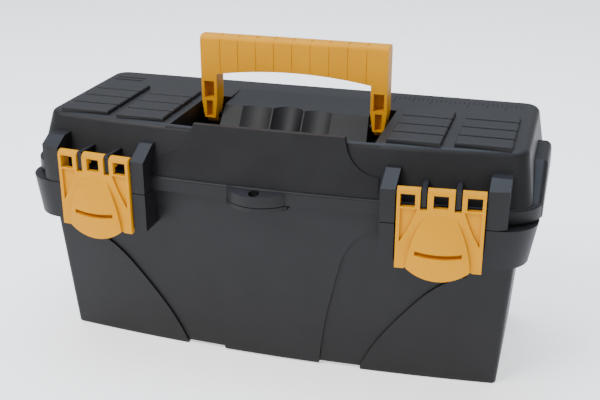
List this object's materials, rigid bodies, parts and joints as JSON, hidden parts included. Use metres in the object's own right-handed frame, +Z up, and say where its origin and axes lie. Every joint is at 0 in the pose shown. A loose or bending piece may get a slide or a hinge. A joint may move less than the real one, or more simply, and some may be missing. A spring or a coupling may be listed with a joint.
{
  "type": "toolbox with tray",
  "caption": "Small moulded toolbox with a hinged lid, front snap latches, a folding carry handle, padlock tabs and a lift-out tray inside.",
  "frame": {"origin": "on the standing surface, at the middle of the whole object's box seen from above", "axes": "+X along the toolbox's length to the right of someone facing its front, -Y out of the latched front, +Z up"},
  "size_m": [0.3376, 0.1622, 0.2072],
  "materials": {
    "black_plastic": "fine grained charcoal polypropylene",
    "orange_plastic": "satin orange-yellow polypropylene",
    "grey_plastic": "fine grained dark grey polypropylene",
    "steel": "drawn steel wire"
  },
  "bodies": {
    "tub": {"tub": "black_plastic", "hinge_pin_left": "steel", "hinge_pin_right": "steel"},
    "lid": {"lid": "black_plastic", "handle_pin_left": "black_plastic", "handle_pin_right": "black_plastic", "latch_pin_left": "black_plastic", "latch_pin_right": "black_plastic"},
    "handle": {"handle": "orange_plastic"},
    "latch_left": {"latch_left": "orange_plastic"},
    "latch_right": {"latch_right": "orange_plastic"},
    "tray": {"tray": "grey_plastic", "tray_divider_left": "grey_plastic", "tray_divider_right": "grey_plastic"}
  },
  "joints": [
    {"name": "lid_hinge", "type": "hinge", "parent": "tub", "child": "lid", "pos_m": [0, 0.0761, 0.121], "axis": [-1, 0, 0], "range_deg": [0, 105]},
    {"name": "handle_fold", "type": "hinge", "parent": "lid", "child": "handle", "pos_m": [0, 0.004, 0.1505], "axis": [1, 0, 0], "range_deg": [0, 90]},
    {"name": "latch_left_swing", "type": "hinge", "parent": "lid", "child": "latch_left", "pos_m": [-0.11166, -0.07282, 0.1387], "axis": [-0.996, 0.0889, 0], "range_deg": [0, 95]},
    {"name": "latch_right_swing", "type": "hinge", "parent": "lid", "child": "latch_right", "pos_m": [0.11166, -0.07282, 0.1387], "axis": [-0.996, -0.0889, 0], "range_deg": [0, 95]},
    {"name": "tray_lift", "type": "slide", "parent": "tub", "child": "tray", "axis": [0, 0, 1], "range_m": [0, 0.12]}
  ],
  "couplings": [
    {"joint": "tray_lift", "follows": "lid_hinge", "m_per_rad": 0.0653}
  ]
}
